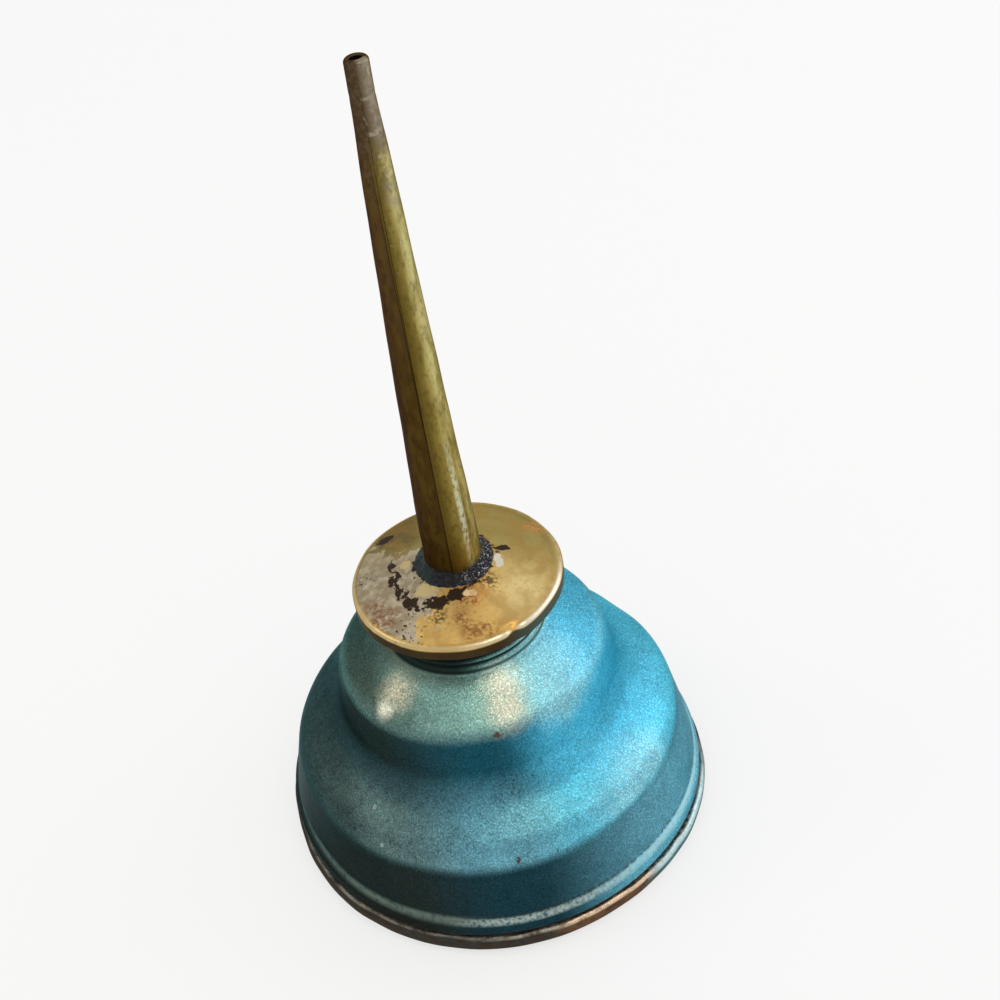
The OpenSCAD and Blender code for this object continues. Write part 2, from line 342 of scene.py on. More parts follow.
spout = {
    "sides": 180, "wall": 0.55, "root": 61.15, "tip": 160.85, "tipRound": 0.6, "mouth": 0.9,
    # the sheet's lap: its angle in degrees, its step in mm, and how far the step reaches to either side in
    # radians
    "lapAngle": 264, "lapStep": 0.3, "lapRamp": (0.04, 0.015),
    # height and radius of the rolled sheet, from the foot to the tip
    "taper": [(61.15, 5.2), (64.15, 5.2), (78.15, 4.86), (100, 4.04), (129, 2.97), (141, 2.48), (147, 2.23),
              (152.5, 1.98), (155, 1.92), (160.85, 1.88)],
    # how far it leans towards +X in 100 mm
    "lean": 0.8,
    # height and depth of the faint rings round the tip
    "rings": [(138.2, 0.03), (149.9, 0.04), (155.2, 0.04)],
}


def spoutRadius(height):
    heights, radii = zip(*spout["taper"])
    radius = np.interp(height, heights, radii)
    for z, depth in spout["rings"]:
        radius = radius - depth * np.exp(-((height - z) / 0.25) ** 2)
    return radius


def lapGrowth(angle):
    # the outer end of the sheet stands proud at the lap and runs flush on the far side
    turn = (angle - math.radians(spout["lapAngle"])) % (2 * math.pi)
    proud = np.where(turn < math.pi, 0.5 + 0.5 * np.cos(turn), 0)
    before, after = spout["lapRamp"]
    ramp = smoothStep((turn + before) % (2 * math.pi), 0.0, before + after)
    nearLap = (turn > 2 * math.pi - before) | (turn < after)
    return spout["lapStep"] * np.where(nearLap, ramp, proud)


def makeSpout():
    root, tip, bend = spout["root"], spout["tip"], spout["tipRound"]
    # points round the spout lie closer together over the step of the lap
    close = np.array([-0.06, -0.04, -0.03, -0.02, -0.01, 0, 0.008, 0.015, 0.03])
    plain = np.linspace(0.05, 2 * math.pi - 0.09, spout["sides"] - len(close))
    angle = math.radians(spout["lapAngle"]) + np.concatenate([close, plain])
    rows = []
    for z in np.linspace(root, tip - bend, 160):
        fade = 1 - 0.6 * smoothStep(z, 140, 158)
        wavy = 0.03 * np.sin(z / 5.3 + 2 * angle) + 0.02 * np.sin(z / 2.1 + angle)
        rows.append((spoutRadius(z) + fade * lapGrowth(angle) + wavy, z))
    shoulder = rows[-1][0]
    for turn in np.linspace(0.15, 1, 7) * math.pi / 2:
        rows.append((shoulder - bend * (1 - math.cos(turn)), tip - bend * (1 - math.sin(turn))))
    mouth = spout["mouth"] * (1 + 0.08 * np.sin(2 * angle + 1))
    rows += [(mouth + 0.12, tip - 0.02), (mouth, tip - 0.12), (mouth, tip - bend / 2)]
    for z in np.linspace(tip - bend, root, 50):
        rows.append((spoutRadius(z) - spout["wall"] + 0 * angle, z))
    rings = []
    for radius, z in rows:
        lean = spout["lean"] * ((z - root) / 100) ** 2
        rings.append(np.stack([radius * np.cos(angle) + lean, radius * np.sin(angle), z + 0 * angle], -1))
    return ringsToPiece("taperedSpout", np.array(rings), 30)


solder = {
    "sides": 200,
    # radius and height over the collar's cone, once round the section of the ring
    "section": [(4.85, -0.5), (6.3, -0.4), (7.3, 0.02), (7.1, 0.3), (6.75, 0.46), (6.3, 0.58), (5.9, 0.8),
                (5.5, 1.1), (5.2, 1.25), (4.85, 1.1)],
    # size of the lumps in mm and how far they stand out
    "lumps": [(1.1, 0.28), (0.4, 0.16)],
}


def makeSolder():
    section = [(r, collarHeight(r) + rise) for r, rise in solder["section"]]
    rings = turnedRings(evened(section, 0.22), solder["sides"])
    for point in rings.reshape(-1, 3):
        # the lumps fade out at the spout and where the ring dips into the collar
        reach = math.hypot(point[0], point[1])
        lump = sum(noise.noise(Vector(point) / size) * height for size, height in solder["lumps"])
        free = min(1, max(0, (reach - 5.3) / 0.4))
        free *= min(1, max(0, (point[2] - collarHeight(reach) + 0.25) / 0.3))
        point[:2] *= 1 + free * lump * 0.55 / reach
        point[2] += free * lump * 0.8
    return ringsToPiece("solderRing", rings, 60)


# Materials

def toLinear(hexText):
    # sRGB hex to the linear colour that shaders use
    parts = [int(hexText[i:i + 2], 16) / 255 for i in (1, 3, 5)]
    return tuple(c / 12.92 if c <= 0.04045 else ((c + 0.055) / 1.055) ** 2.4 for c in parts) + (1.0,)


def addNode(tree, kind, links=None, **settings):
    # the one way a node is made: its settings, then its values and links
    node = tree.nodes.new("ShaderNode" + kind)
    for key, value in settings.items():
        setattr(node, key, value)
    for key, value in (links or {}).items():
        if isinstance(value, bpy.types.NodeSocket):
            tree.links.new(value, node.inputs[key])
        else:
            node.inputs[key].default_value = value
    return node


class Surface:
    # one material in the making: its tree, its finish so far (colour, rough and metal), and where a point of
    # the surface lies, in mm
    def __init__(self, name, **look):
        self.look = look
        self.material = bpy.data.materials.new(name)
        self.material.use_nodes = True
        self.tree = self.material.node_tree
        self.tree.nodes.clear()
        self.shader = addNode(self.tree, "BsdfPrincipled")
        addNode(self.tree, "OutputMaterial", {"Surface": self.shader.outputs[0]})
        place = addNode(self.tree, "TexCoord").outputs["Object"]
        self.at = addNode(self.tree, "VectorMath", {0: place, "Scale": 1000.0}, operation="SCALE").outputs[0]
        self.x, self.y, self.z = addNode(self.tree, "SeparateXYZ", {0: self.at}).outputs
        flat = addNode(self.tree, "VectorMath", {0: self.at, 1: (1, 1, 0)}, operation="MULTIPLY").outputs[0]
        self.radius = addNode(self.tree, "VectorMath", {0: flat}, operation="LENGTH").outputs["Value"]
        # angle round the axis in degrees, 0 to 360
        turn = addNode(self.tree, "Math", {0: self.y, 1: self.x}, operation="ARCTAN2").outputs[0]
        turn = addNode(self.tree, "Math", {0: turn, 1: 180 / math.pi, 2: 720.0},
                       operation="MULTIPLY_ADD").outputs[0]
        self.turn = addNode(self.tree, "Math", {0: turn, 1: 360.0}, operation="MODULO").outputs[0]

    def patches(self, size, low, high, detail=3.0, seed=0.0, stretch=(1, 1, 1)):
        # ragged patches about size mm across: 0 where the noise is under low, 1 over high
        at = addNode(self.tree, "VectorMath", {0: self.at, 1: stretch}, operation="MULTIPLY").outputs[0]
        links = {"Vector": at, "W": seed, "Scale": 1.0 / size, "Detail": detail}
        cloud = addNode(self.tree, "TexNoise", links, noise_dimensions="4D").outputs[0]
        return addNode(self.tree, "MapRange", {0: cloud, 1: low, 2: high},
                       interpolation_type="SMOOTHSTEP").outputs[0]

    def spot(self, centre, size, ragged=0.4, grain=1.5, soft=0.25, stretch=(1, 1, 1)):
        # one ragged patch about size mm in radius
        links = {"Vector": self.at, "Scale": 1.0 / grain, "Detail": 3.0}
        wander = addNode(self.tree, "TexNoise", links).outputs[1]
        middle = tuple(c + ragged * size for c in centre)
        at = addNode(self.tree, "VectorMath", {0: wander, 1: (2 * ragged * size,) * 3, 2: self.at},
                     operation="MULTIPLY_ADD").outputs[0]
        at = addNode(self.tree, "VectorMath", {0: at, 1: middle}, operation="SUBTRACT").outputs[0]
        at = addNode(self.tree, "VectorMath", {0: at, 1: stretch}, operation="MULTIPLY").outputs[0]
        reach = addNode(self.tree, "VectorMath", {0: at}, operation="LENGTH").outputs["Value"]
        return addNode(self.tree, "MapRange", {0: reach, 1: size * (1 + soft), 2: size * (1 - soft)},
                       interpolation_type="SMOOTHSTEP").outputs[0]

    def where(self, *masks, share=1.0, **limits):
        # the product of masks and of limits such as z=(low, high), where the surface fades in from low to
        # high; four values fade it in and out again
        masks = list(masks)
        for name, edges in limits.items():
            for low, high in filter(None, (edges[:2], edges[:1:-1])):
                masks.append(addNode(self.tree, "MapRange", {0: getattr(self, name), 1: low, 2: high},
                                     interpolation_type="SMOOTHSTEP").outputs[0])
        for mask in masks:
            share = addNode(self.tree, "Math", {0: share, 1: mask}, operation="MULTIPLY").outputs[0]
        return share

    def cover(self, colour, *masks, blend="MIX", **over):
        # lays a colour, and where they are given rough and metal too, over what is there, where any of the
        # masks is 1
        mask = masks[0]
        for other in masks[1:]:
            mask = addNode(self.tree, "Math", {0: mask, 1: other}, operation="MAXIMUM").outputs[0]
        below = self.look["colour"]
        below = toLinear(below) if isinstance(below, str) else below
        self.look["colour"] = addNode(self.tree, "Mix", {0: mask, 6: below, 7: toLinear(colour)},
                                      data_type="RGBA", blend_type=blend).outputs[2]
        for key, value in over.items():
            links = {0: mask, 2: self.look[key], 3: value}
            self.look[key] = addNode(self.tree, "Mix", links).outputs[0]

    def finish(self, bumps=(), **plain):
        # joins the finish to the shader; bumps are (height socket, depth in mm)
        for key, name in (("colour", "Base Color"), ("rough", "Roughness"), ("metal", "Metallic")):
            if isinstance(self.look[key], bpy.types.NodeSocket):
                self.tree.links.new(self.look[key], self.shader.inputs[name])
            else:
                self.shader.inputs[name].default_value = self.look[key]
        normal = None
        for height, depth in bumps:
            links = {"Height": height, "Distance": depth * mm}
            if normal:
                links["Normal"] = normal
            normal = addNode(self.tree, "Bump", links).outputs[0]
        if normal:
            self.tree.links.new(normal, self.shader.inputs["Normal"])
        for key, value in plain.items():
            self.shader.inputs[key.replace("_", " ")].default_value = value
        return self.material


lacquer = {
    # zones of the bell: the heights that each fades in and out over, its colour in front, on the left and on
    # the right, and the x that the last fades in over. The tones are painted light and shade: dark on the
    # walls and in the hollow, light on the shoulder and cone, painted shade on the left and a painted
    # reflection of the window on the right
    "zones": [((-2, -1), "#77b7c7", "#6c8785", "#6dd6f2", (1, 18)),
              ((25.5, 36), "#1c5868", "#2a3733", "#58caee", (0, 15)),
              ((41.4, 44.8), "#a0cdc2", "#4d5f56", "#66c9e6", (1, 18)),
              ((8.4, 9.1, 19.5, 23), "#1b3d47", "#272f2b", "#72b3c7", (2, 34)),
              ((9.2, 8.4), "#1c3f49", "#26281f", "#7ecbe2", (5, 26)),
              ((49.2, 49.7), "#78a8a0", "#2a3a33", "#b8f2ee", (1, 18))],
    # the x that the painted shade on the left fades in over, the darker painted shade at its far edge, and
    # the tint of light that grazes the lacquer
    "shadedSide": (-3, -21), "farShade": "#2b3633", "edge": "#8ba9ad",
    # the hollows and the tops of the grain
    "dark": "#929d9f", "light": "#b4bfbf",
    # lacquer worn thin under painted highlights (pale, worn, warm), painted sheen (glow, clear), the bead's
    # tin under a painted highlight, a dim painted bead highlight, and pale knocks
    "pale": "#dcd5c0", "worn": "#fffbe4", "warm": "#dcd4b8", "glow": "#a6e6f4", "clear": "#62d2f4",
    "tinSheen": "#c4d6ce", "dimBeadHighlight": "#6c7a70", "knock": "#b9c6bb",
    # dirt, rust and scratches, and painted shade under the collar and in the thread
    "underCollarShade": "#4a4f3f", "neckShade": "#16241d", "soot": "#1f2a26", "shade": "#0b1718", "grime": "#2b211a",
    "groove": "#32241a", "pits": "#7a4c30", "rust": "#5a2f26", "scratch": "#14262c",
    # where the lacquer is chipped to rust: place in mm, radius and stretch
    "chips": [((1.1, -24.9, 42.7), 1.0, (1, 1, 2.2)), ((0.4, -37.8, 22.4), 0.75, (1.8, 1, 1)),
              ((-9.0, -21.0, 43.5), 0.3, (1, 1, 1)), ((18.5, -33.5, 20.5), 0.3, (1, 1, 1))],
    # where handling has worn the lacquer thin, under a painted highlight, and where painted sheen lies (glow,
    # clear):
    # place in mm, radius and colour
    "thin": [((-15.0, -13.2, 46.6), 2.9, "warm"), ((-17.9, -15.1, 44.4), 1.5, "worn"),
             ((4.4, -17.6, 47.2), 3.4, "worn"), ((3.8, -21.5, 45.2), 3.3, "pale"),
             ((22.5, -28.3, 24.2), 6.5, "glow"), ((13, -14.5, 46.0), 6.0, "glow"),
             ((13.6, -20.4, 43.4), 4.0, "glow"), ((29.0, -22.5, 25.0), 4.5, "glow"),
             ((15.0, -24.5, 30.0), 6.0, "clear")],
    # pale knocks: place in mm and radius
    "knocks": [((9.5, -38.0, 17.5), 0.25), ((-23.6, -22.5, 27.2), 0.5), ((-23.7, -28.6, 23.7), 0.4),
               ((-10.3, -20.8, 44.4), 0.35)],
}


def lacquerTones(s):
    # the colour of each zone with its painted light and shade, and the places that handling has worn thin,
    # under painted highlights and sheen
    for heights, front, leftShade, paintedSheen, rightOf in lacquer["zones"]:
        s.cover(front, s.where(z=heights))
        s.cover(leftShade, s.where(z=heights, x=lacquer["shadedSide"]))
        s.cover(paintedSheen, s.where(z=heights, x=rightOf))
    # painted shade on the far left of the wall and hollow
    s.cover(lacquer["farShade"], s.where(x=(-22, -31), z=(18, 21, 34, 37), share=0.7))
    for centre, size, colour in lacquer["thin"]:
        s.cover(lacquer[colour],
                s.where(s.spot(centre, size, 0.3, 3, 0.9), s.patches(0.9, 0.2, 0.5, seed=4), z=(20.5, 23),
                        share=0.85))


def lacquerGrain(s, grain):
    # the lacquer is dark in the hollows of its grain and light on the tops
    s.cover(lacquer["dark"], s.where(grain, share=0.7), blend="MULTIPLY")
    s.cover(lacquer["light"], s.where(s.patches(0.3, 0.42, 0.7, 3.0, 5.0), share=0.75), blend="DODGE")
    s.cover(lacquer["dark"], s.where(s.patches(4, 0.4, 0.7, 4.0, 9.0), share=0.25), blend="MULTIPLY")


def grimeAndPaintedShade(s):
    # painted shade under the collar and on its left, and faint mottled soot on the left
    s.cover(lacquer["underCollarShade"], s.where(z=(47.4, 49.3), x=(3, -6), share=0.65))
    s.cover(lacquer["neckShade"], s.where(z=(49.2, 49.8), x=(4, -4), share=0.93))
    s.cover(lacquer["soot"],
            s.where(s.patches(1.5, 0.5, 0.66, 4.0, 13.0), x=(2, -12), z=(20, 23), share=0.16))
    # painted shade in the grooves of the thread and at its foot, with a dull finish
    s.cover(lacquer["shade"],
            s.where(z=(50.4, 50.9), radius=(15.15, 14.75), share=0.95),
            s.where(z=(49.5, 49.8, 50.1, 50.5), share=0.7), rough=0.6, metal=0.3)


def beadHighlightAndRust(s):
    # along a line that climbs a little at the sides the bead carries a painted highlight: over worn tin in
    # front, dim on the left and pale blue on the right, with rust over it in front
    apart = addNode(s.tree, "Math", {0: s.x, 1: 8.0}, operation="SUBTRACT").outputs[0]
    square = addNode(s.tree, "Math", {0: apart, 1: apart}, operation="MULTIPLY").outputs[0]
    s.bead = addNode(s.tree, "Math", {0: square, 1: -0.0005, 2: s.z}, operation="MULTIPLY_ADD").outputs[0]
    s.cover(lacquer["tinSheen"],
            s.where(s.patches(0.6, 0.28, 0.6, 4.0), s.patches(4, 0.2, 0.5, 3.0, 6.0),
                    bead=(7.9, 8.6, 9.0, 9.7), x=(-18, -8), share=0.75))
    # a dim painted highlight along the bead on the left
    s.cover(lacquer["dimBeadHighlight"],
            s.where(s.patches(1.5, 0.1, 0.6, 4.0, 6.0), bead=(7.7, 8.9, 9.1, 10.4), x=(-4, -16), share=0.95))
    # a pale blue painted highlight along the bead on the right
    s.cover(lacquer["glow"],
            s.where(s.patches(1.5, 0.1, 0.5, 4.0, 6.0), bead=(7.9, 8.9, 9.1, 10.0), x=(10, 24), share=0.75))
    s.cover(lacquer["grime"],
            s.where(s.patches(0.7, 0.4, 0.56, 4.0, 2.0), bead=(9.1, 9.5, 9.7, 10.2), x=(-14, -4), share=0.6),
            rough=0.75, metal=0.2)
    s.cover(lacquer["groove"], s.where(s.patches(2.5, 0.15, 0.4), z=(6.1, 5.4)), rough=0.75, metal=0.2)
    s.cover(lacquer["pits"],
            s.where(s.patches(0.7, 0.48, 0.6, 4.0, 3.0), z=(6.3, 5.7), share=0.6), rough=0.6, metal=0.6)


def chipsAndCracks(s):
    # chips go down to rusty steel, and knocks leave the lacquer pale
    for centre, size, stretch in lacquer["chips"]:
        s.cover(lacquer["rust"],
                s.where(s.spot(centre, size, 0.8, 0.8, 0.35, stretch), share=0.9), rough=0.8, metal=0.1)
    for centre, size in lacquer["knocks"]:
        s.cover(lacquer["knock"], s.where(s.spot(centre, size, 0.8, 0.5), share=0.6), rough=0.5)
    # hairline cracks and scratches, drawn coarser than the real ones so that they show
    s.crack = s.patches(1.4, 0.0, 1.0, 2.0, 11.0)
    cracks = s.where(s.patches(1.6, 0.5, 0.6, 2.0, 12.0), crack=(0.43, 0.49, 0.51, 0.57), z=(21, 23, 31, 34),
                     x=(12, 2), share=0.45)
    lines = s.where(s.patches(0.9, 0.63, 0.67, 1.0, 7.0, (2.4, 2.4, 0.3)), s.patches(9, 0.45, 0.6, 2.0, 3.0),
                    z=(16, 20, 33, 36), x=(16, 6), share=0.6)
    s.cover(lacquer["scratch"], cracks, lines)


def tealLacquer():
    # translucent lacquer sprayed on tinplate: the metal under it gives a satin sheen with a fine grain
    s = Surface("tealLacquerOnTinplate", colour=lacquer["zones"][0][1], rough=0.4, metal=0.94)
    grain = s.patches(0.3, 0.3, 0.7, 3.0)
    lacquerTones(s)
    lacquerGrain(s, grain)
    grimeAndPaintedShade(s)
    beadHighlightAndRust(s)
    chipsAndCracks(s)
    return s.finish([(grain, 0.025), (s.patches(2.4, 0.2, 0.8, 2.0), 0.05)],
                    Coat_Weight=0.06, Coat_Roughness=0.3, Specular_Tint=toLinear(lacquer["edge"]))


rustySteel = {
    "steel": "#3f3f3b", "brown": "#3a281d", "copper": "#765741", "teal": "#548d98", "dark": "#1b1815",
    # the painted highlight along the upper edge, from the left over the front to the right
    "shine": "#aea899", "glint": "#f6d6b4", "pale": "#d2eaec",
}


def rustySteelWithHighlight():
    # bare folded steel, browned by rust, with a painted highlight along its upper edge and painted shade
    # under it
    s = Surface("rustySteelPaintedHighlight", colour=rustySteel["steel"], rough=0.42, metal=0.9)
    s.cover(rustySteel["brown"], s.where(s.patches(2.5, 0.42, 0.6, 5.0), share=0.7), rough=0.6, metal=0.5)
    s.cover(rustySteel["copper"],
            s.where(s.patches(2, 0.25, 0.55, 4.0, 4.0), turn=(272, 282, 304, 312), share=0.85), metal=0.85)
    # a mist of the lacquer reached the rim on one side
    s.cover(rustySteel["teal"],
            s.where(s.patches(2, 0.2, 0.45, 4.0, 6.0), z=(0.5, 1.6), turn=(300, 316, 330, 359), share=0.85),
            metal=0.85)
    # painted highlight on the top of the roll: dull on the left, a warm glint in front and a pale reflection
    # on the right
    s.cover(rustySteel["shine"],
            s.where(s.patches(3.0, 0.3, 0.65, 3.0, 2.0), z=(4.4, 4.65), share=0.5),
            s.where(s.patches(2.4, 0.25, 0.6, 3.0, 2.0), z=(4.2, 4.45, 4.65, 4.74), turn=(250, 268, 335, 359),
                    share=0.8), rough=0.35)
    s.cover(rustySteel["glint"],
            s.where(s.patches(2.4, 0.2, 0.55, 3.0, 2.0), z=(4.0, 4.35, 4.58, 4.7), turn=(274, 284, 304, 312),
                    share=0.95), rough=0.33)
    s.cover(rustySteel["pale"],
            s.where(s.patches(2.4, 0.1, 0.45, 3.0, 2.0), z=(3.1, 4.1, 4.5, 4.64), turn=(303, 311, 330, 359),
                    share=0.9), rough=0.33)
    # dark rust specks, and painted shade on the top under the bead and on the lower half of the roll
    s.cover(rustySteel["dark"],
            s.where(s.patches(0.8, 0.58, 0.72, 4.0, 9.0), share=0.5),
            s.where(s.patches(0.7, 0.3, 0.6, 4.0, 1.0), z=(4.62, 4.75), turn=(258, 270, 335, 359), share=0.9),
            s.where(z=(1.6, 0.8), share=0.6), rough=0.8, metal=0.2)
    return s.finish([(s.patches(0.6, 0.2, 0.8, 4.0), 0.08)],
                    Specular_Tint=toLinear(rustySteel["shine"]))


springSheet = {"steel": "#77736a", "line": "#55524b", "stain": "#4b3122", "rust": "#3a2213"}


def springSteel():
    # cold-rolled sheet: faint turning marks, an oil film and brown stains
    s = Surface("oiledSpringSteel", colour=springSheet["steel"], rough=0.38, metal=0.95)
    across = addNode(s.tree, "CombineXYZ", {0: s.radius}).outputs[0]
    lines = addNode(s.tree, "TexNoise", {"Vector": across, "Scale": 2.5, "Detail": 3.0}).outputs[0]
    s.cover(springSheet["line"], s.where(lines, share=0.7))
    s.cover(springSheet["stain"],
            s.where(s.patches(8, 0.5, 0.66, 5.0, 5.0), share=0.75), rough=0.62, metal=0.4)
    s.cover(springSheet["rust"],
            s.where(s.patches(2, 0.35, 0.55, 4.0), radius=(32.5, 36.5), share=0.9), rough=0.8, metal=0.1)
    return s.finish([(lines, 0.02), (s.patches(0.8, 0.2, 0.8, 4.0), 0.04)])


collarBrass = {
    # bare brass, from the front over the right to the rear, with painted shade at the left rear, a painted
    # highlight and its deeper places
    "gold": "#efc576", "right": "#c0a161", "green": "#978a55", "shade": "#665e45", "glow": "#ffe7a6",
    "deep": "#a77f3f",
    # where the painted highlight lies: place in mm and radius
    "highlightAt": ((11.0, -9.5, 62.1), 4.6),
    # grey plating, whole and dulled, and dirt over it
    "plate": "#c9bba4", "dull": "#96876a", "dirt": "#2c1d12",
    "rust": "#8a5533", "orange": "#d88d4c", "island": "#cdb783", "cream": "#f2cf9c", "fleck": "#d9d0bc",
    # the painted highlight on the rolled edge, and the painted shade on the skirt under it
    "edgeHighlight": "#d9c08a", "edge": "#f1e6cf", "skirtShade": "#1e1408", "skirtRight": "#4d6058",
    # grime: place in mm, radius and stretch
    "grime": [((-12.2, 11.8, 61.7), 1.3, (0.6, 1, 1)), ((-11.9, -1.0, 62.7), 1.1, (1.5, 0.7, 1)),
              ((-9.2, -7.6, 62.7), 1.4, (1, 1, 1)), ((-4.6, -9.4, 63.1), 1.9, (0.7, 1.7, 1)),
              ((-0.6, -8.8, 63.3), 1.7, (0.8, 1.2, 1)), ((8.6, 0.9, 63.5), 1.2, (0.6, 2.2, 1))],
    # stains: place in mm, radius and colour
    "stains": [((-15.9, -5.6, 61.7), 1.8, "rust"), ((-14.4, -9.0, 61.7), 2.6, "rust"),
               ((0.6, -16.6, 61.7), 1.9, "rust"), ((3.8, -17.0, 61.6), 1.8, "rust"),
               ((15.9, 6.8, 61.6), 2.0, "orange"), ((2.6, -9.0, 63.4), 2.6, "orange"),
               ((-1.0, -13.8, 62.1), 1.6, "rust"), ((5.3, -7.0, 63.4), 1.9, "dirt"),
               ((0.5, -9.6, 63.2), 2.2, "rust"), ((-5.0, -11.8, 62.6), 2.0, "dirt")],
    # bright flecks: place in mm, radius, colour and stretch
    "flecks": [((-6.0, -6.2, 63.5), 2.0, "island", (0.7, 1.4, 1)),
               ((1.5, -8.9, 63.4), 1.0, "cream", (0.7, 1.3, 1)),
               ((7.9, -2.4, 63.7), 1.3, "fleck", (1.6, 0.7, 1)),
               ((-8.9, 1.7, 63.4), 1.1, "island", (1, 1, 1))],
    # black pinholes in the plating: place in mm and radius
    "pins": [((-16.6, 1.6, 61.7), 2.0), ((-10.8, -12.4, 61.8), 3.6), ((-8.3, -16.0, 61.4), 1.6),
             ((-7.5, -3.6, 63.4), 2.4)],
}


def bareBrass(s):
    # gold in front, greener towards the rear and brown painted shade at the left rear
    s.cover(collarBrass["right"], s.where(x=(2, 14), share=0.9))
    s.cover(collarBrass["green"], s.where(y=(-9, 5), share=0.9))
    s.cover(collarBrass["shade"], s.where(x=(0, -8), y=(3, 9), share=0.85))
    # a painted highlight on the front right of the cone
    centre, size = collarBrass["highlightAt"]
    s.cover(collarBrass["glow"], s.where(s.spot(centre, size, 0.2, 3, 0.9), share=0.6))
    s.cover(collarBrass["deep"],
            s.where(s.patches(3.5, 0.42, 0.64, 5.0), share=0.45),
            s.where(s.patches(0.8, 0.5, 0.7, 4.0, 5.0), share=0.45), rough=0.45)


def oldPlating(s):
    # the grey plating ends in a ragged line
    s.cover(collarBrass["plate"],
            s.where(around=(162, 164, 252, 253), radius=(18.6, 18.3), share=0.95), rough=0.48, metal=0.8)
    s.cover(collarBrass["dull"],
            s.where(s.patches(1.4, 0.3, 0.6, 5.0, 3.0), turn=(140, 165, 222, 244), share=0.85))
    s.cover(collarBrass["green"], s.where(y=(2, 9), around=(150, 156, 200, 206), share=0.4))


def stainsAndGrime(s):
    # rust-brown stains first, then black grime, and bright flecks where the metal was touched again
    for centre, size, colour in collarBrass["stains"]:
        mask = s.where(s.spot(centre, size, 0.7, 1.2, 0.5), s.patches(0.6, 0.42, 0.58, 4.0, 2.0), share=0.8)
        s.cover(collarBrass[colour], mask, rough=0.6, metal=0.5)
    # grime lies in an arc where fingers don't reach, and in blots round the solder
    blots = [s.spot(centre, size, 1.0, 1.1, 0.12, stretch) for centre, size, stretch in collarBrass["grime"]]
    arc = s.where(s.patches(0.9, 0.36, 0.44, 5.0, 4.0), across=(12.5, 12.7, 13.5, 13.7),
                  turn=(150, 165, 232, 240))
    foot = s.where(s.patches(1.2, 0.3, 0.5, 4.0, 3.0), across=(9.0, 8.4))
    pins = [s.where(s.patches(0.55, 0.6, 0.64, 2.0, 6.0), s.spot(centre, size, 0.5, 1.5, 0.6))
            for centre, size in collarBrass["pins"]]
    s.cover(collarBrass["dirt"], arc, foot, *blots, *pins, rough=0.6, metal=0.3)
    for centre, size, colour, stretch in collarBrass["flecks"]:
        s.cover(collarBrass[colour], s.spot(centre, size, 0.7, 1.2, 0.15, stretch))


def rolledEdge(s):
    # the rolled edge carries a painted highlight, brightest at the right, and the skirt under it is in dark
    # brown painted shade, teal-grey at the right
    s.cover(collarBrass["skirtShade"],
            s.where(z=(60.1, 59.7), radius=(18.4, 18.8), share=0.95), rough=0.5, metal=0.7)
    s.cover(collarBrass["skirtRight"],
            s.where(z=(60.1, 59.7), radius=(18.4, 18.8), turn=(282, 312, 335, 359), share=0.8))
    s.cover(collarBrass["edgeHighlight"],
            s.where(s.patches(1.2, 0.2, 0.5), radius=(18.7, 18.95), z=(59.9, 60.15), share=0.8), rough=0.34)
    s.cover(collarBrass["edge"],
            s.where(s.patches(1.6, 0.1, 0.4), radius=(18.6, 19.0), z=(59.9, 60.2), turn=(255, 300, 335, 359),
                    share=0.85), rough=0.32)


def wornCollarBrass():
    # spun brass with a painted highlight at the edge, grey plating left on one side and grime round the
    # solder
    s = Surface("wornSpunBrass", colour=collarBrass["gold"], rough=0.36, metal=0.94)
    # the angle and the radius with a ragged wander, for edges that run round the collar
    ragged = s.patches(2.2, 0.25, 0.75, 4.0, 1.0)
    s.around = addNode(s.tree, "Math", {0: ragged, 1: 26.0, 2: s.turn}, operation="MULTIPLY_ADD").outputs[0]
    s.across = addNode(s.tree, "Math", {0: ragged, 1: 3.0, 2: s.radius}, operation="MULTIPLY_ADD").outputs[0]
    bareBrass(s)
    oldPlating(s)
    stainsAndGrime(s)
    rolledEdge(s)
    return s.finish([(s.patches(0.5, 0.2, 0.8), 0.015), (s.patches(3.5, 0.2, 0.8, 2.0), 0.06)],
                    Specular_Tint=toLinear(collarBrass["plate"]))


spoutBrass = {
    # right of the lap, from the lap on, then its painted highlight and painted highlight stripe, and its
    # mottling
    "olive": "#5f4d1c", "gold": "#a4924a", "light": "#d6cc8e", "paintedSheen": "#d2d2b4", "mottle": "#473c17",
    # left of the lap: at the foot, higher up, and its mottling
    "brown": "#483413", "pale": "#5c452c", "umber": "#33210d",
    # the tip, lighter with a painted highlight on its right, its flecks and painted glints, and dust
    "grey": "#4b3a28", "tip": "#9b8f7b", "fleck": "#b9af98", "dust": "#6b5c49",
    # dirt in the lap and at the foot
    "line": "#191008", "foot": "#2b2018",
}


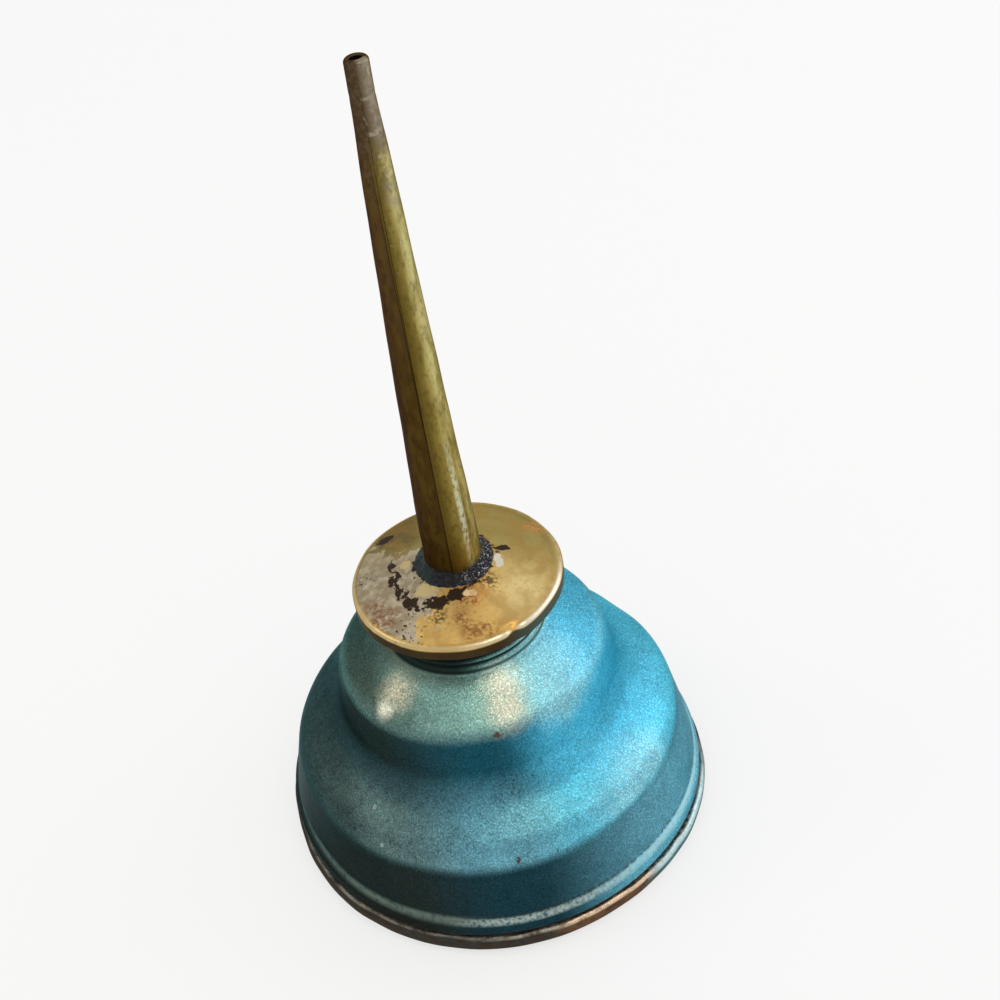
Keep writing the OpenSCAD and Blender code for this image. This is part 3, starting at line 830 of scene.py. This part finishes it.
def spoutSides(s):
    # right of the lap the brass is olive, with a painted highlight that grows the further it turns to the
    # right
    s.cover(spoutBrass["gold"], s.where(turn=(266, 306, 338, 359), share=0.95))
    s.cover(spoutBrass["light"],
            s.where(turn=(290, 322, 338, 359), z=(84, 110), share=0.85),
            s.where(turn=(310, 330, 338, 359), z=(64, 70), share=0.6))
    s.cover(spoutBrass["olive"], s.where(s.patches(1.6, 0.4, 0.66, 4.0, 0.0, (1, 1, 0.25)), share=0.5))
    s.cover(spoutBrass["mottle"],
            s.where(s.patches(0.6, 0.48, 0.68, 4.0, 5.0, (1, 1, 0.5)), share=0.4), rough=0.5)
    # the side left of the lap is brown, with olive and umber mottling
    s.cover(spoutBrass["brown"], s.where(turn=(160, 180, 262, 266), share=0.95), rough=0.48, metal=0.85)
    s.cover(spoutBrass["pale"], s.where(turn=(160, 180, 262, 266), z=(100, 128), share=0.6))
    s.cover(spoutBrass["olive"],
            s.where(s.patches(1.3, 0.46, 0.62, 4.0, 10.0, (1, 1, 0.3)), turn=(170, 190, 256, 262), share=0.4))
    s.cover(spoutBrass["umber"],
            s.where(s.patches(0.9, 0.48, 0.64, 4.0, 14.0, (1, 1, 0.4)), turn=(170, 190, 258, 264),
                    share=0.45))
    # a painted highlight stripe along one side of its lower half
    s.cover(spoutBrass["paintedSheen"],
            s.where(s.patches(0.5, 0.34, 0.56, 4.0, 2.0, (1, 1, 0.4)), turn=(295, 302, 308, 315), z=(98, 84),
                    share=0.8),
            s.where(s.patches(0.5, 0.3, 0.56, 4.0, 2.0, (1, 1, 0.4)), turn=(299, 303, 307, 311),
                    z=(66, 71, 79, 86), share=0.85), rough=0.32)


def spoutTip(s):
    # the swaged tip is grey, lighter on its right under a painted highlight, and its faint rings carry
    # painted glints on the right
    s.cover(spoutBrass["grey"], s.where(z=(144, 151), share=0.85), rough=0.45)
    s.cover(spoutBrass["tip"], s.where(z=(145.5, 151), turn=(278, 320, 338, 359), share=0.95))
    s.cover(spoutBrass["tip"],
            s.where(s.patches(1.2, 0.3, 0.6, 4.0, 16.0), z=(136, 139.5, 141.5, 144),
                    turn=(276, 318, 338, 359), share=0.7))
    s.cover(spoutBrass["dust"], s.where(s.patches(0.7, 0.42, 0.64, 4.0, 15.0), z=(136, 144), share=0.45))
    s.cover(spoutBrass["fleck"],
            s.where(s.patches(0.6, 0.35, 0.6, 4.0, 17.0), z=(149.5, 149.8, 150.2, 150.6),
                    turn=(272, 290, 320, 340), share=0.55),
            s.where(s.patches(0.6, 0.35, 0.6, 4.0, 18.0), z=(154.9, 155.2, 155.4, 155.7),
                    turn=(272, 290, 320, 340), share=0.45),
            s.where(s.patches(0.8, 0.62, 0.68, 3.0, 8.0, (1, 1, 0.5)), z=(122, 128), turn=(265, 290),
                    share=0.6))


def oliveSpoutBrass():
    # rolled sheet brass gone olive with age, brown where the oil film sits
    s = Surface("tarnishedRolledBrass", colour=spoutBrass["olive"], rough=0.38, metal=0.92)
    spoutSides(s)
    spoutTip(s)
    # dirt sits in the seam of the lap and round the foot
    s.cover(spoutBrass["line"], s.where(turn=(261.6, 263, 264, 264.6), z=(150, 132)), rough=0.7, metal=0.3)
    s.cover(spoutBrass["foot"],
            s.where(s.patches(0.9, 0.35, 0.55, 3.0, 3.0), z=(67, 64.8), share=0.8), rough=0.6, metal=0.5)
    return s.finish([(s.patches(0.6, 0.2, 0.8, 3.0, 0.0, (1, 1, 0.5)), 0.02),
                     (s.patches(2.5, 0.2, 0.8, 2.0), 0.04)], Specular_Tint=toLinear(spoutBrass["tip"]))


oldSolder = {"oxide": "#2c2b2f", "crystalGlint": "#b5b3b5", "pit": "#141215", "greenShade": "#22322f"}


def softSolder():
    # old soft solder: dark oxide with bright crystals, painted glints on them in front and on the right, and
    # green-grey painted shade on the left
    s = Surface("oxidisedSoftSolder", colour=oldSolder["oxide"], rough=0.42, metal=0.85)
    s.cover(oldSolder["crystalGlint"],
            s.where(s.patches(0.35, 0.52, 0.64), x=(-2, 4), share=0.85),
            s.where(s.patches(0.35, 0.6, 0.7), share=0.5), rough=0.32)
    s.cover(oldSolder["pit"], s.where(s.patches(0.8, 0.48, 0.56, 3.0, 4.0), share=0.85), rough=0.6, metal=0.5)
    # green-grey painted shade on the left
    s.cover(oldSolder["greenShade"], s.where(x=(-3, -6), share=0.8), metal=0.5)
    return s.finish([(s.patches(0.35, 0.2, 0.8), 0.12)])


leather = {"oiled": "#3b2415", "fibre": "#5d3b22", "cut": "#77522f"}


def oiledLeather():
    # vegetable-tanned leather soaked in oil, with a lighter cut edge
    s = Surface("oilSoakedLeather", colour=leather["oiled"], rough=0.55, metal=0.0)
    s.cover(leather["fibre"], s.where(s.patches(0.5, 0.4, 0.65, 4.0), share=0.6))
    s.cover(leather["cut"], s.where(radius=(18.2, 18.4), share=0.5))
    return s.finish([(s.patches(0.4, 0.2, 0.8, 4.0), 0.08)])


sleeveBrass = {"brass": "#a9853c", "stain": "#6e5526", "groove": "#33240f"}


def plainSleeveBrass():
    # drawn brass that the washer has kept from the air
    s = Surface("oiledDrawnBrass", colour=sleeveBrass["brass"], rough=0.33, metal=0.95)
    s.cover(sleeveBrass["stain"], s.where(s.patches(2, 0.45, 0.65, 4.0), share=0.6), rough=0.45)
    s.cover(sleeveBrass["groove"], s.where(radius=(14.25, 13.9), z=(58.8, 58.2), share=0.6), rough=0.6)
    return s.finish([(s.patches(0.5, 0.2, 0.8), 0.02)])


# The pieces, each on its body but the springy bottom

pieces = [
    (makeBell, tealLacquer, "can", "can_body"),
    (makeRim, rustySteelWithHighlight, "can", "base_seam"),
    (makeBottom, springSteel, "bottom", "bottom_diaphragm"),
    (makeWasher, oiledLeather, "washer", "neck_washer"),
    (makeCollar, wornCollarBrass, "spout", "spout_collar"),
    (makeSleeve, plainSleeveBrass, "spout", "thread_sleeve"),
    (makeSpout, oliveSpoutBrass, "spout", "spout_tube"),
    (makeSolder, softSolder, "spout", "solder_ring"),
]
for makePiece, makeMaterial, body, node in pieces:
    piece = makePiece()
    piece.data.materials.append(makeMaterial())
    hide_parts(node)
    if node == "bottom_diaphragm":
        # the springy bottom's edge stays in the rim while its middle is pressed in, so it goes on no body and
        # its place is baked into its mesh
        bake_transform(piece)
    else:
        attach(piece, body)
    print("made", piece.name, len(piece.data.polygons), "faces")


# Floor, light and camera

# the paper's size in metres, how much of it is seen as plain white, and the strength of the room's light
studio = {"floor": "#f4f4f2", "floorSize": 6.0, "glow": 0.7, "room": "#f2f4f6", "roomLight": 0.75}


def makeFloor():
    s = studio["floorSize"]
    mesh = bpy.data.meshes.new("studioFloor")
    mesh.from_pydata([(-s, -s, 0), (s, -s, 0), (s, s, 0), (-s, s, 0)], [], [(0, 1, 2, 3)])
    floor = bpy.data.objects.new("studioFloor", mesh)
    bpy.context.scene.collection.objects.link(floor)
    floor.location.z = -0.02 * mm
    material = bpy.data.materials.new("palePaperSweep")
    material.use_nodes = True
    tree = material.node_tree
    tree.nodes.clear()
    # the eye, metal and gloss see part of the paper as plain white, and the rest keeps the shadow
    light = addNode(tree, "LightPath").outputs
    seen = addNode(tree, "Math", {0: light["Is Camera Ray"], 1: light["Is Glossy Ray"]}, operation="MAXIMUM")
    seen = addNode(tree, "Math", {0: seen.outputs[0], 1: light["Is Transmission Ray"]}, operation="MAXIMUM")
    seen = addNode(tree, "Math", {0: seen.outputs[0], 1: studio["glow"]}, operation="MULTIPLY")
    paper = addNode(tree, "BsdfDiffuse", {"Color": toLinear(studio["floor"])})
    white = addNode(tree, "Emission", {"Color": (1, 1, 1, 1), "Strength": 1.0})
    mix = addNode(tree, "MixShader", {0: seen.outputs[0], 1: paper.outputs[0], 2: white.outputs[0]})
    addNode(tree, "OutputMaterial", {"Surface": mix.outputs[0]})
    mesh.materials.append(material)


lamps = [
    # name, direction from the can, distance and width in metres, power in watts, colour
    ("overheadLamp", (0.26, -0.31, 0.91), 1.0, 0.26, 1.3, "#fff1d8"),
    ("leftLamp", (-0.72, 0.14, 0.68), 1.0, 0.26, 0.7, "#fff4e2"),
    ("rightWindow", (0.90, 0.15, 0.42), 1.1, 0.9, 2.4, "#e4f2ff"),
    ("backWindow", (0.1, 0.85, 0.7), 1.3, 1.0, 1.2, "#ffffff"),
]


def makeLamps():
    target = Vector((0, 0, 0.03))
    for name, direction, distance, width, power, colour in lamps:
        lamp = bpy.data.lights.new(name, "AREA")
        lamp.shape, lamp.size, lamp.energy = "DISK", width, power
        lamp.color = toLinear(colour)[:3]
        holder = bpy.data.objects.new(name, lamp)
        holder.location = target + Vector(direction).normalized() * distance
        holder.rotation_euler = (target - holder.location).to_track_quat("-Z", "Y").to_euler()
        bpy.context.scene.collection.objects.link(holder)


def makeWorld():
    world = bpy.data.worlds.new("softRoom")
    world.use_nodes = True
    tree = world.node_tree
    tree.nodes.clear()
    room = addNode(tree, "Background", {"Color": toLinear(studio["room"]), "Strength": studio["roomLight"]})
    addNode(tree, "OutputWorld", {"Surface": room.outputs[0]})
    bpy.context.scene.world = world


# place and target in mm, roll in degrees, lens in mm
view = {"place": (0, -201.65, 248.49), "target": (10.146, 0, 75.363), "roll": -9.893, "lens": 54.0}


def makeCamera():
    camera = bpy.data.cameras.new("camera")
    camera.sensor_width, camera.sensor_height, camera.lens = 36.0, 36.0, view["lens"]
    camera.clip_start, camera.clip_end = 0.01, 50
    holder = bpy.data.objects.new("camera", camera)
    place, target = Vector(view["place"]) * mm, Vector(view["target"]) * mm
    ahead = (target - place).normalized()
    right = ahead.cross(Vector((0, 0, 1))).normalized()
    up = right.cross(ahead)
    roll = math.radians(view["roll"])
    across = right * math.cos(roll) + up * math.sin(roll)
    upright = -right * math.sin(roll) + up * math.cos(roll)
    turn = Matrix((across, upright, -ahead)).transposed()
    holder.matrix_world = Matrix.Translation(place) @ turn.to_4x4()
    bpy.context.scene.collection.objects.link(holder)
    bpy.context.scene.camera = holder


makeFloor()
makeLamps()
makeWorld()
makeCamera()
bpy.context.scene.view_settings.view_transform = "Standard"
print("stage ready")
